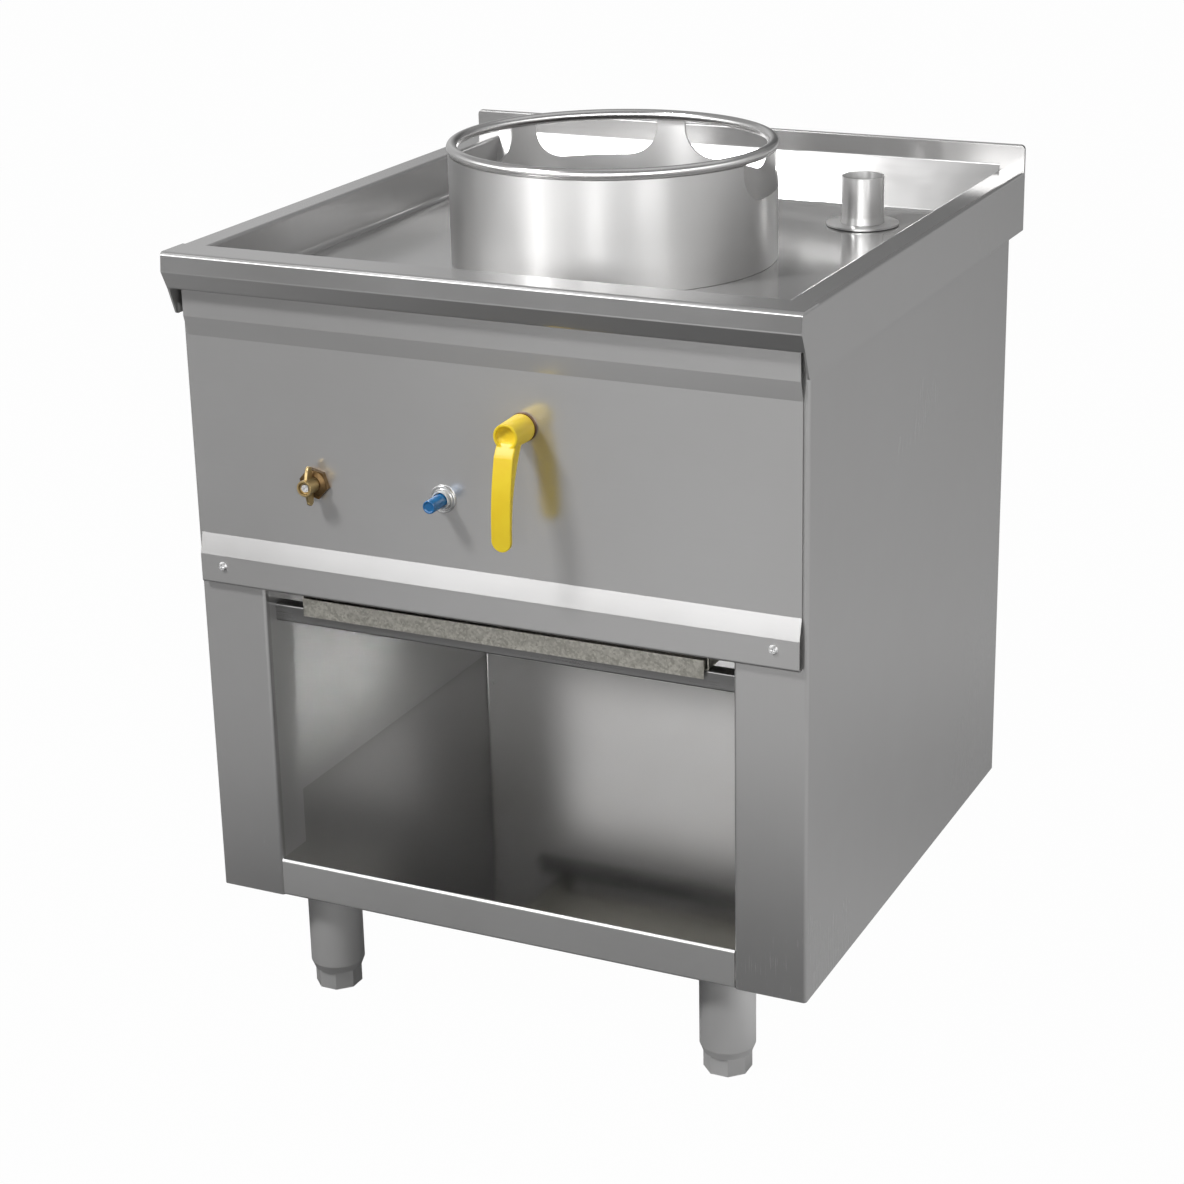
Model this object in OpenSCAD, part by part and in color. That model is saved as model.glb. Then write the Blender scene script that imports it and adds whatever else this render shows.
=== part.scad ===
// Free-standing gas wok range: a folded sheet cabinet on four legs, with a sunken
// worktop basin, a loose wok ring over the burner, an overflow drain and a drip tray.
// Millimetres. +Z is up and the front faces -Y. The origin is on the ground, under the
// middle of the whole outline.

/* [Overall] */
// Width of the worktop
width = 700; // [640:10:900]
// Depth of the worktop, from the front edge of the rim to the back of the upstand
depth = 700; // [660:10:850]
// Height of the worktop rim above the ground
rim_h = 850; // [830:5:950]
// Height of the cabinet's lower edge above the ground
leg_h = 125; // [110:1:160]
// Sheet thickness of the cabinet
cab_t = 1.5; // [1:0.1:2]
// Sheet thickness of the worktop
top_t = 2; // [1.5:0.1:2.5]
// Gap between pieces that move past each other
gap = 0.3; // [0.2:0.05:0.5]
// Radial clearance of a turning or sliding fit
fit = 0.06; // [0.02:0.01:0.1]

/* [Worktop] */
// Height of the side skirts
skirt_h = 69; // [60:1:80]
// Height of the upright band of the nose
nose_face = 20.5; // [15:0.5:30]
// How far the nose leans forward below its top edge
nose_lean = 2; // [0.5:0.5:4]
// Height of the slanted band of the nose
nose_slant = 20; // [15:0.5:30]
// How far the slanted band runs back
nose_slant_in = 10; // [6:0.5:12]
// Width of the hem under the nose
nose_hem = 9; // [6:0.5:9]
// Where the front edge of a side skirt ends, behind the nose
skirt_in = 19; // [14:0.5:26]
// Width of the side rims
rim_side = 31; // [25:1:40]
// Width of the front rim
rim_front = 43; // [38:1:55]
// Depth of the basin
basin_d = 50; // [40:1:58]
// How far the basin's back wall slopes
slope_in = 26; // [20:1:40]
// How far above the rim the sloping wall meets the upstand
slope_over = 6; // [3:0.5:10]
// Height of the rear upstand above the rim
upstand_h = 30; // [20:1:60]
// Corner radius of the upstand
upstand_r = 6; // [3:0.5:12]
// Inner radius of the sheet bends
bend_r = 2; // [1:0.1:3]
// Inner radius of the bends round the basin floor
basin_r = 6; // [3:0.5:9]

/* [Cabinet] */
// How far the side panels stand in from the worktop's sides
side_inset = 3; // [2.5:0.1:4]
// How far the posts stand back from the worktop's front edge
post_in = 27.5; // [27:0.5:34]
// How far the back panel stands in from the worktop's back edge
back_inset = 42; // [36:1:60]
// Width of a post
post_w = 78; // [60:1:95]
// Depth of a post's inner return
post_return = 50; // [48:1:70]
// Width of the flange behind which the back panel is screwed
rear_flange = 22; // [16:1:26]
// Height of the shelf's front lip
lip_h = 44; // [36:1:60]
// Width of the hem under the lip
lip_hem = 15; // [10:1:20]
// Height of a vent slot in the back panel
vent_h = 8; // [5:1:12]
// Length of a vent slot
vent_l = 60; // [40:1:70]

/* [Control panel] */
// How far the panel's ends stand in from the worktop's sides
panel_end = 9; // [7:0.5:14]
// How far the panel's lower edge lies below the rim
panel_drop = 363; // [340:1:385]
// How far the panel's flanges stand back from the worktop's front edge
flange_in = 19.5; // [18.5:0.5:20]
// How far the main face is recessed behind the flanges
recess = 6; // [3:0.5:6]
// Height of the lower flange
flange_h = 32; // [26:1:40]
// Height of the lower slope
low_slope = 23; // [16:1:28]
// Gap between the worktop and the panel's upper edge
panel_under = 8; // [6:0.5:12]
// Height of the upper flange
up_flange = 61; // [50:0.5:66]
// Height of the upper slope
up_slope = 21; // [15:1:26]
// Distance of a panel screw from the worktop's side
screw_in = 36; // [30:1:50]
// Thread radius of the panel screws
screw_r = 2; // [1.5:0.1:2.5]
// Head radius of the panel screws
screw_head_r = 5; // [4:0.1:6]

/* [Gas lever] */
// Distance of the lever's axis from the middle of the panel
lever_x = 47; // [30:1:90]
// Distance of the lever's axis from the upper edge of the main face
lever_down = 57; // [50:1:66]
// Length of the lever from its axis to its tip
lever_len = 113; // [90:1:130]
// Radius of the lever's hub at the panel
hub_r = 14.5; // [12:0.5:16]
// How much the hub narrows towards its front
hub_taper = 1; // [0:0.25:2]
// Depth of the dish in the front of the hub
dish_d = 3.5; // [2:0.5:5]
// Depth of the saddle between hub and arm
saddle = 2.5; // [1:0.5:4]
// Length of the lever's hub
hub_l = 36; // [30:1:40]
// Width of the lever's arm
arm_w = 21.5; // [16:0.5:24]
// Thickness of the arm at its tip
arm_tip_t = 4; // [3:0.5:8]
// Thickness of the arm at the hub
arm_root_t = 21; // [16:1:24]
// How far the arm leans forward at its tip
arm_out = 16; // [8:1:20]
// Thickness of the bush flange between hub and panel
bush_t = 3; // [2:0.5:4]
// Radius of the valve stem
stem_r = 4; // [3:0.5:5]
// Radius of the gas valve's body
valve_r = 19; // [16:0.5:22]
// Length of the gas valve's body
valve_l = 70; // [60:1:80]

/* [Pilot tap] */
// Distance of the tap's axis from the middle of the panel, to the left
tap_x = 196; // [160:1:220]
// Height of the tap's axis above the foot of the main face
tap_up = 72; // [60:1:90]
// Radius of the tap's bonnet nut
bonnet_r = 17; // [14:0.5:18]
// Length of the bonnet
bonnet_l = 7; // [5:0.5:10]
// Span of the two wings
wing_span = 42; // [34:1:50]
// Radius of the wing's hub
wing_hub_r = 8.5; // [7.5:0.5:10]
// Length of the wing's hub
wing_hub_l = 16.5; // [15:0.5:20]
// Thickness of a wing
wing_t = 3.2; // [2.5:0.1:4]
// Radius of a wing's rounded tip
wing_tip_r = 4.5; // [3.5:0.1:4.6]
// How far the wings lean back at their tips
wing_lean = 5; // [2:0.5:5]
// Wall of the ring on the front of the wing's hub
wing_ring_t = 2; // [1.5:0.1:2.5]
// Depth of the recess inside that ring
wing_recess = 4; // [3:0.5:5]
// Radius of the tap's spindle
spindle_r = 4; // [3.5:0.1:4.5]
// Radius of the tap's body
tap_r = 12; // [10:0.5:14]
// Length of the tap's body behind the panel
tap_l = 68; // [60:1:80]
// Distance of the feed pipe from the tap's body
feed_rise = 11; // [8:0.5:16]

/* [Igniter] */
// Distance of the igniter's axis from the middle of the panel, to the left
ign_x = 46.5; // [30:0.5:70]
// Height of the igniter's axis above the foot of the main face
ign_up = 73; // [60:1:80]
// Radius of the button
button_r = 7; // [6:0.5:8]
// How far the button stands out of its collar
button_out = 24; // [16:0.5:26]
// Travel of the button
button_travel = 6; // [4:0.5:8]
// How far the collar stands out of the panel
collar_out = 7; // [6:0.5:12]
// Radius of the collar and barrel
barrel_r = 9.5; // [8.8:0.1:11]
// Radius of the bezel
bezel_r = 14.5; // [12:0.5:17]
// Length of the igniter's body behind the panel
ign_l = 58; // [50:1:65]

/* [Drip tray] */
// How far the tray's sides stand in from the posts
tray_side = 38; // [26:1:60]
// Gap behind the tray, to the back panel
tray_behind = 53; // [30:1:120]
// Width of a tray runner's lower leg
runner_w = 18; // [14:1:24]
// Height of the tray's front strip
strip_h = 20; // [16:0.5:24]
// Gap between the panel's lower edge and the strip
strip_gap = 11.5; // [8:0.5:16]
// How far the strip stands behind the face of the posts
strip_in = 14.5; // [8:0.5:18]
// Depth of the tray
tray_d = 10.5; // [8:0.5:12]
// Sheet thickness of the tray
tray_t = 1.2; // [0.8:0.1:1.5]
// Height of the cross rails
rail_h = 20; // [16:0.5:26]
// Depth of the cross rails
rail_d = 25; // [20:1:28]
// How far the rail stands behind the strip
rail_in = 5; // [4:0.5:8]

/* [Wok ring] */
// Outer radius of the ring's skirt
ring_r = 176.5; // [174:0.5:190]
// Height of the ring, from the basin floor to the top of its bar
ring_h = 129; // [110:1:150]
// Thickness of the skirt
ring_t = 2; // [1.5:0.1:3]
// Radius of the round bar
bar_r = 6; // [5:0.5:8]
// How far the bar stands out past the skirt
bar_out = 1.5; // [0.5:0.25:3]
// How far the ring's axis lies in front of the middle of the worktop
ring_fwd = 7; // [0:1:15]
// Number of scallops at the back
scallops = 4; // [3:1:4]
// Angle from one scallop to the next
scallop_pitch = 57; // [55:1:60]
// Width of a scallop
scallop_w = 137; // [120:1:145]
// Depth of a scallop below the top of the skirt
scallop_d = 40; // [35:1:60]
// Radius of a scallop's lower corners
scallop_r = 33; // [20:1:34]
// Turn of the ring as it stands on the floor
ring_turn = 3; // [0:1:10]

/* [Burner] */
// Radius of the opening in the basin floor
opening_r = 140; // [125:1:148]
// Height of the collar round the opening
collar_h = 16; // [10:1:24]
// Width of the collar's foot
collar_foot = 18; // [12:1:22]
// Inner radius of the burner chamber
chamber_r = 150; // [149:1:160]
// How far the chamber reaches below the burner's axis
chamber_low = 81; // [70:1:90]
// Radius of the burner's bowl
bowl_r = 62; // [56:1:68]
// Outer radius of the mixing tube
mixer_r = 22; // [20:0.5:24]
// Wall of the burner's casting
cast_t = 6; // [4:0.5:8]
// Radius of the flame ports
port_r = 1.8; // [1.2:0.1:2.5]
// Number of flame ports in the outer circle
ports = 20; // [12:1:28]
// Outer radius of the main gas pipe
pipe_r = 10.65; // [9:0.05:13]
// Outer radius of the burner's supply pipe
feed_r = 8; // [6:0.5:9]
// Outer radius of the pilot's pipes
pilot_r = 3; // [2.5:0.1:4]
// Distance of the main pipe's run from the worktop's right side
pipe_side = 60; // [50:1:75]

/* [Drain] */
// Distance of the drain from the worktop's right side
drain_side = 153; // [135:1:165]
// Distance of the drain from the worktop's back edge
drain_back = 117; // [110:1:125]
// Radius of the drain's flange
drain_flange_r = 41; // [38:0.5:46]
// Thickness of the drain's flange
drain_flange_t = 2; // [1.5:0.1:3]
// Outer radius of the overflow pipe
over_r = 23.7; // [22.5:0.1:25]
// Wall of the overflow pipe
over_t = 1.5; // [1:0.1:2]
// Height of the overflow pipe's top above the basin floor
over_h = 56; // [40:1:70]
// Radius of the pipe's spigot in the drain
spigot_r = 21; // [19:0.1:22]
// Length of the spigot
spigot_l = 25; // [18:1:30]
// Outer radius of the tailpipe
tail_r = 20; // [18:0.5:24]
// Drop of the tailpipe below the basin floor
tail_drop = 160; // [140:1:180]

/* [Legs] */
// Radius of the leg tubes
leg_r = 30; // [25:0.5:32]
// Wall of the leg tubes
leg_t = 2; // [1.5:0.1:3]
// Distance of a leg's axis from the face of the posts or the back panel
leg_in = 54.5; // [50:0.5:70]
// Distance of a leg's axis from the worktop's side
leg_side = 111.5; // [111:0.5:140]
// Height of the tapered lower end of a tube
leg_taper = 9; // [5:0.5:14]
// Radius of a tube at its lower end
leg_end_r = 26.5; // [23:0.5:28]
// Height of a levelling foot that shows at rest
foot_h = 21; // [16:0.5:28]
// Radius of the foot over its corners
foot_r = 26; // [22:0.5:28]
// Radius of the foot's threaded stem
foot_stem_r = 10; // [8:0.5:12]
// Travel of a levelling foot
foot_travel = 25; // [10:1:25]
// Side of the plate on top of a leg
plate_w = 100; // [90:1:106]
// How far the plate reaches outward from the leg's axis
plate_side = 28; // [27:0.5:29.5]
// Thickness of the plate on top of a leg
plate_t = 4; // [3:0.5:6]

/* [Hidden] */
$fn = 64;
bend_steps = 6;

// Heights
cab_z = leg_h;
shelf_z = cab_z + lip_h;
skirt_z = rim_h - skirt_h;
up_z = rim_h + upstand_h;
slope_z = rim_h + slope_over;
floor_z = rim_h - basin_d;
under_z = floor_z - top_t;
panel_z = rim_h - panel_drop;
low_slope_z = panel_z + flange_h;
main_z = low_slope_z + low_slope;
main_h = panel_drop - panel_under - top_t - flange_h - low_slope - up_slope - up_flange;
up_slope_z = main_z + main_h;
up_flange_z = up_slope_z + up_slope;
panel_top = rim_h - top_t - panel_under;
screw_z = panel_z + flange_h * 0.65;
lever_z = up_slope_z - lever_down;
tap_z = main_z + tap_up;
ign_z = main_z + ign_up;
strip_top = panel_z - strip_gap;
strip_z = strip_top - strip_h;
tray_z = strip_top - tray_d;
runner_t = 1.5;
rail_z = tray_z - gap - runner_t;
post_top = under_z - 8;
return_top = rail_z + 32;

// Widths
side_x = width / 2 - side_inset;
post_x = side_x - post_w;
basin_x = width / 2 - rim_side;
panel_x = width / 2 - panel_end;
screw_x = width / 2 - screw_in;
back_x = side_x - cab_t - bend_r - gap;
pipe_x = width / 2 - pipe_side;
drain_x = width / 2 - drain_side;
leg_x = width / 2 - leg_side;
tray_w = 2 * (post_x - tray_side);

// Depths, from the worktop's front edge
main_in = flange_in + recess;
main_back = main_in + cab_t;
back_y = depth - back_inset;
up_in = 2 * top_t + 0.5;
slope_y = depth - up_in - slope_in;
strip_y = post_in + strip_in;
rail_y = strip_y + rail_in;
tray_l = back_y - 2 * cab_t - tray_behind - strip_y;
ring_in = depth / 2 - ring_fwd;
drain_in = depth - drain_back;
lever_reach = bush_t + 0.5 + hub_l + arm_out - main_in;
lead_r = 2.5;
lead_slack = 60;
front_y = (lever_reach - depth) / 2;

// Burner, on the level of the gas valve
valve_y = main_back + 35;
bracket_t = 4;
bracket_z = lever_z - mixer_r - 3;
bowl_z = lever_z + 41;
mixer_y = ring_in - chamber_r + 29;
injector_l = 24;
injector_y = mixer_y - 4 - injector_l;
pilot_x = bowl_r + 23;
electrode_x = pilot_x + 25;
pilot_low = lever_z - chamber_low - 34;
pilot_y = main_back + tap_l + 8 * pilot_r;
inlet_y = back_y - cab_t - 5;
feed_clear = valve_r + 2 * pilot_r;
feed_side = tap_z + tap_r + feed_rise < lever_z - feed_clear ? 1 : -1;
feed_z = tap_z + feed_side * (tap_r + feed_rise);
hub_y = main_in - bush_t - 0.5;
hub_front = hub_y - hub_l;
wing_y = main_in - bonnet_l - 0.5;
wing_front = wing_y - wing_hub_l;
wing_floor = wing_front + wing_recess;
wing_back = wing_floor + 2;

// Drain
drain_z = floor_z + 1 + drain_flange_t;
neck_r = 26;
neck_l = 34;
tail_z = floor_z - tail_drop;
stub_y = depth - 10;

// Legs
plate_z = shelf_z - cab_t - plate_t;
leg_ys = [post_in + leg_in, back_y - leg_in];

// Folded sheet: a line of points with each corner bent to a radius, thickened to its left
function unit(v) = v / norm(v);
function left_of(v) = [-v[1], v[0]];
function turned(v, a) = [v[0] * cos(a) - v[1] * sin(a), v[0] * sin(a) + v[1] * cos(a)];
function bend(a, b, c, t, r) =
    let (
        u = unit(b - a),
        v = unit(c - b),
        side = sign(u[0] * v[1] - u[1] * v[0]),
        turn = acos(u * v),
        path_r = r + (side > 0 ? t : 0),
        start = b - u * path_r * tan(turn / 2),
        centre = start + side * path_r * left_of(u)
    )
    [for (k = [0:bend_steps])
        let (angle = side * turn * k / bend_steps)
        [centre + turned(start - centre, angle), turned(left_of(u), angle)]];
function folded(p, t, r) =
    let (last = len(p) - 1)
    concat(
        [[p[0], left_of(unit(p[1] - p[0]))]],
        [for (i = [1:last - 1]) each bend(p[i - 1], p[i], p[i + 1], t, is_list(r) ? r[i - 1] : r)],
        [[p[last], left_of(unit(p[last] - p[last - 1]))]]
    );
module sheet(p, t, r) {
    f = folded(p, t, r);
    polygon(concat([for (q = f) q[0]], [for (i = [len(f) - 1:-1:0]) f[i][0] + t * f[i][1]]));
}

// Outlines drawn in YZ, XZ or XY and drawn out along the third axis
module along_x(l) rotate([90, 0, 90]) linear_extrude(l, center = true) children();
module along_y(y0, y1) translate([0, y1, 0]) rotate([90, 0, 0]) linear_extrude(y1 - y0) children();
module along_z(z0, z1) translate([0, 0, z0]) linear_extrude(z1 - z0) children();
// Every piece is drawn with Y from the worktop's front edge, then set over the origin
module seated() translate([0, front_y, 0]) children();
module both_sides() for (s = [0, 1]) mirror([s, 0, 0]) children();
module box(x0, x1, y0, y1, z0, z1) translate([x0, y0, z0]) cube([x1 - x0, y1 - y0, z1 - z0]);
// A round bar along Y
module round_y(r, y0, y1) translate([0, y0, 0]) rotate([-90, 0, 0]) cylinder(r = r, h = y1 - y0);
module cone_y(r0, r1, y0, y1)
    translate([0, y0, 0]) rotate([-90, 0, 0]) cylinder(r1 = r0, r2 = r1, h = y1 - y0);
module hex_y(r, y0, y1) translate([0, y0, 0]) rotate([-90, 0, 0]) cylinder(r = r, h = y1 - y0, $fn = 6);
module round_x(r, x0, x1) translate([x0, 0, 0]) rotate([0, 90, 0]) cylinder(r = r, h = x1 - x0);

// A tube along a route, with an arc at every corner and a thin seam at both ends of it
function euler(ex, ey, ez) =
    abs(ex[2]) > 0.9999 ? [atan2(-sign(ex[2]) * ey[0], ey[1]), -90 * sign(ex[2]), 0]
    : [atan2(ey[2], ez[2]), -asin(ex[2]), atan2(ex[1], ex[0])];
function corner_cut(p, i, br) =
    (i == 0 || i == len(p) - 1) ? 0
    : br * tan(acos(unit(p[i] - p[i - 1]) * unit(p[i + 1] - p[i])) / 2);
module tube_run(a, b, r) {
    d = b - a;
    translate(a)
        rotate([0, acos(d[2] / norm(d)), atan2(d[1], d[0])])
            cylinder(r = r, h = norm(d));
}
module tube_bend(a, b, c, r, br) {
    u = unit(b - a);
    v = unit(c - b);
    inward = unit(v - u * (u * v));
    turn = acos(u * v);
    cut = br * tan(turn / 2);
    translate(b - u * cut + br * inward)
        rotate(euler(-inward, u, cross(-inward, u)))
            rotate_extrude(angle = turn)
                translate([br, 0])
                    circle(r);
    tube_run(b - u * (cut + 0.4), b - u * (cut - 0.4), r + 0.1);
    tube_run(b + v * (cut - 0.4), b + v * (cut + 0.4), r + 0.1);
}
module tube(p, r, br) {
    for (i = [0:len(p) - 2]) {
        u = unit(p[i + 1] - p[i]);
        tube_run(p[i] + u * corner_cut(p, i, br), p[i + 1] - u * corner_cut(p, i + 1, br), r);
    }
    for (i = [1:1:len(p) - 2]) tube_bend(p[i - 1], p[i], p[i + 1], r, br);
}

// A body lofted through rings of points, closed at both ends
module loft(rings) {
    n = len(rings[0]);
    last = len(rings) - 1;
    sides = [for (k = [0:last - 1], j = [0:n - 1])
        let (a = k * n + j, b = k * n + (j + 1) % n)
        each [[a, a + n, b], [b, a + n, b + n]]];
    ends = concat([for (j = [1:n - 2]) [0, j, j + 1]],
        [for (j = [1:n - 2]) [0, j + 1, j] + [1, 1, 1] * last * n]);
    polyhedron([for (r = rings) each r], concat(sides, ends));
}

// Places
module at_lever() translate([lever_x, 0, lever_z]) children();
module at_tap() translate([-tap_x, 0, tap_z]) children();
module at_igniter() translate([-ign_x, 0, ign_z]) children();
module at_ring() translate([0, ring_in, 0]) children();
module at_drain() translate([drain_x, drain_in, 0]) children();
module at_leg(side, row)
    translate([side * leg_x, leg_ys[row], 0]) mirror([side < 0 ? 1 : 0, 0, 0]) children();
module at_studs() for (x = [plate_side - 8, plate_side - plate_w + 8], y = [8 - plate_w / 2, plate_w / 2 - 8])
    translate([x, y, 0]) children();
module at_back_screws() both_sides() for (k = [0:3])
    translate([side_x - rear_flange / 2, 0, shelf_z + 40 + k * (post_top - shelf_z - 80) / 3]) children();

// Cabinet
module side_panel() {
    front = [[post_x, post_in + post_return], [post_x, post_in], [side_x, post_in]];
    rear = [[side_x, back_y], [side_x - rear_flange, back_y]];
    difference() {
        union() {
            along_z(cab_z, return_top) sheet(concat([for (q = front) q], rear), cab_t, bend_r);
            along_z(return_top, post_top) sheet(concat([front[1], front[2]], rear), cab_t, bend_r);
            box(side_x - cab_t, side_x, post_in + 10, back_y - 10, post_top, rim_h - top_t - bend_r - 1);
            box(post_x, side_x - cab_t - bend_r - 1, post_in, post_in + cab_t, post_top, rim_h - top_t);
        }
        translate([screw_x, 0, screw_z]) round_y(screw_r + gap, post_in - 1, post_in + cab_t + 1);
        at_back_screws() round_y(screw_r + gap, back_y - cab_t - 1, back_y + 1);
    }
}
module left_side_panel() color("gainsboro") seated() mirror([1, 0, 0]) side_panel();
module right_side_panel() color("gainsboro") seated() side_panel();

module back_panel() color("silver") seated() difference() {
    box(-back_x, back_x, back_y - 2 * cab_t, back_y - cab_t, cab_z + 2, under_z);
    at_back_screws() round_y(screw_r + gap, back_y - 3 * cab_t, back_y);
    translate([pipe_x, 0, lever_z]) round_y(pipe_r + 2, back_y - 3 * cab_t, back_y);
    translate([drain_x, 0, tail_z]) round_y(tail_r + 2, back_y - 3 * cab_t, back_y);
    for (row = [0, 1], k = [-1.5:1.5])
        translate([k * vent_l * 1.5 - vent_l / 2, 0, rail_z + vent_h * (10 + row * 3)]) {
            box(0, vent_l, back_y - 3 * cab_t, back_y, -vent_h / 2, vent_h / 2);
            for (x = [0, vent_l]) translate([x, 0, 0]) round_y(vent_h / 2, back_y - 3 * cab_t, back_y);
        }
}
module back_panel_screws() color("silver") seated() at_back_screws() {
    round_y(screw_r, back_y - 8, back_y);
    round_y(screw_head_r, back_y, back_y + 2.4);
}

module bottom_shelf() color("gainsboro") seated() {
    inner = side_x - cab_t - 0.5;
    along_x(2 * post_x) sheet([[back_y - 2 * cab_t, shelf_z], [post_in, shelf_z], [post_in, cab_z],
        [post_in + lip_hem, cab_z]], cab_t, bend_r);
    both_sides() {
        box(post_x - 1, inner, post_in + post_return + 1, back_y - 2 * cab_t, shelf_z - cab_t, shelf_z);
        box(inner - cab_t, inner, post_in + post_return + 1, back_y - 2 * cab_t, cab_z + 10, shelf_z);
    }
}

// Drip tray, its rails and runners
module rail() sheet([[rail_d * 0.6, rail_z], [0, rail_z], [0, rail_z - rail_h],
    [rail_d, rail_z - rail_h]], cab_t, 1);
module front_cross_rail() color("gray") seated() translate([0, rail_y, 0]) along_x(2 * post_x) rail();
module rear_cross_rail() color("gray") seated() translate([0, back_y - 2 * cab_t, 0])
    along_x(2 * post_x) mirror([1, 0]) rail();
module tray_runner() {
    wall = tray_w / 2 + 2;
    top = strip_top + 2;
    along_y(rail_y, back_y - 2 * cab_t)
        sheet([[wall - runner_w * 0.6, top], [wall, top], [wall, rail_z + runner_t],
            [wall - runner_w, rail_z + runner_t]], runner_t, 0.5);
}
module left_tray_runner() color("gray") seated() mirror([1, 0, 0]) tray_runner();
module right_tray_runner() color("gray") seated() tray_runner();
module drip_tray() color("darkkhaki") seated() {
    box(-tray_w / 2, tray_w / 2, strip_y, strip_y + tray_t, strip_z, strip_top);
    difference() {
        box(-tray_w / 2, tray_w / 2, strip_y, strip_y + tray_l, tray_z, strip_top);
        box(tray_t - tray_w / 2, tray_w / 2 - tray_t, strip_y + tray_t, strip_y + tray_l - tray_t,
            tray_z + tray_t, strip_top + 1);
    }
}

// Worktop
nose = [[rim_front - top_t, rim_h], [0, rim_h], [-nose_lean, rim_h - nose_face],
    [nose_slant_in - nose_lean, rim_h - nose_face - nose_slant],
    [nose_slant_in - nose_lean + nose_hem, rim_h - nose_face - nose_slant]];
module side_outline() polygon([for (q = folded(
    [[depth, rim_h], nose[1], nose[2], nose[3], [skirt_in, skirt_z], [depth, skirt_z]],
    0, bend_r + top_t)) q[0]]);
module upstand_outline() {
    both = width / 2 - upstand_r;
    translate([-width / 2, skirt_z]) square([width, up_z - upstand_r - skirt_z]);
    translate([-both, skirt_z]) square([2 * both, up_z - skirt_z]);
    for (x = [-both, both]) translate([x, up_z - upstand_r]) circle(upstand_r);
}
module worktop() color("silver") seated() difference() {
    union() {
        along_x(width) sheet(nose, top_t, bend_r);
        along_x(2 * (basin_x + top_t)) sheet([[depth - up_in, slope_z + 8], [depth - up_in, slope_z],
            [slope_y, floor_z], [rim_front, floor_z], [rim_front, rim_h], [rim_front - 12, rim_h]],
            top_t, [basin_r, basin_r, basin_r, bend_r]);
        intersection() {
            along_x(width) sheet([[depth, skirt_z], [depth, up_z], [depth - up_in, up_z],
                [depth - up_in, rim_h - top_t]], top_t, 0.2);
            along_y(depth - 2 * up_in, depth + 1) upstand_outline();
        }
        both_sides() {
            intersection() {
                along_y(-10, depth) sheet([[width / 2, skirt_z], [width / 2, rim_h],
                    [basin_x + 12, rim_h]], top_t, bend_r);
                along_x(2 * width) side_outline();
            }
            along_y(rim_front - top_t, depth - up_in) sheet([[basin_x + 14, rim_h], [basin_x, rim_h],
                [basin_x, floor_z - top_t]], top_t, bend_r);
            along_y(rim_front, slope_y) sheet([[basin_x, floor_z + 20], [basin_x, floor_z],
                [basin_x - 20, floor_z]], top_t, basin_r);
        }
    }
    at_ring() along_z(under_z - 1, floor_z + 1) circle(opening_r);
    at_drain() along_z(under_z - 1, floor_z + 1) circle(neck_r + 1);
}

// Control panel
module control_panel() color("silver") seated() difference() {
    along_x(2 * panel_x) sheet([[flange_in, panel_top], [flange_in, up_flange_z], [main_in, up_slope_z],
        [main_in, main_z], [flange_in, low_slope_z], [flange_in, panel_z], [post_in, panel_z]],
        cab_t, bend_r);
    at_lever() round_y(stem_r + 4 + gap, main_in - 1, main_back + 1);
    at_tap() round_y(tap_r - 3 + gap, main_in - 1, main_back + 1);
    at_igniter() round_y(barrel_r + gap, main_in - 1, main_back + 1);
    both_sides() translate([screw_x, 0, screw_z])
        round_y(screw_r + gap, flange_in - 1, flange_in + cab_t + 1);
}
module panel_screws() color("silver") seated() both_sides() translate([screw_x, 0, screw_z]) {
    round_y(screw_r, flange_in, post_in + 6);
    difference() {
        cone_y(screw_head_r - 1.5, screw_head_r, flange_in - 2.6, flange_in);
        for (a = [0, 90]) rotate([0, a, 0]) box(-3, 3, flange_in - 3, flange_in - 1.2, -0.6, 0.6);
    }
}

// Wok ring
module at_scallops() for (k = [0:scallops - 1])
    rotate(90 + ring_turn + (k - (scallops - 1) / 2) * scallop_pitch) children();
module wok_ring_skirt() color("lightgray") seated() at_ring() difference() {
    top = floor_z + ring_h - 2 * bar_r;
    bar_x = ring_r + bar_out - bar_r;
    reach = bar_r - sqrt(pow(bar_r, 2) - pow(ring_r - ring_t - bar_x, 2));
    along_z(floor_z + gap, top + reach - 0.05) difference() {
        circle(ring_r, $fn = 180);
        circle(ring_r - ring_t, $fn = 180);
    }
    at_scallops() {
        flat = scallop_w / 2 - scallop_r;
        low = top - scallop_d;
        box(ring_r - 60, ring_r + 20, -scallop_w / 2, scallop_w / 2, low + scallop_r, top + 20);
        box(ring_r - 60, ring_r + 20, -flat, flat, low, top);
        for (y = [-flat, flat])
            translate([0, y, low + scallop_r]) round_x(scallop_r, ring_r - 60, ring_r + 20);
    }
}
module wok_ring_bar() color("lightgray") seated() at_ring()
    translate([0, 0, floor_z + ring_h - bar_r])
        rotate_extrude($fn = 180)
            translate([ring_r + bar_out - bar_r, 0])
                circle(bar_r);

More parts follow.
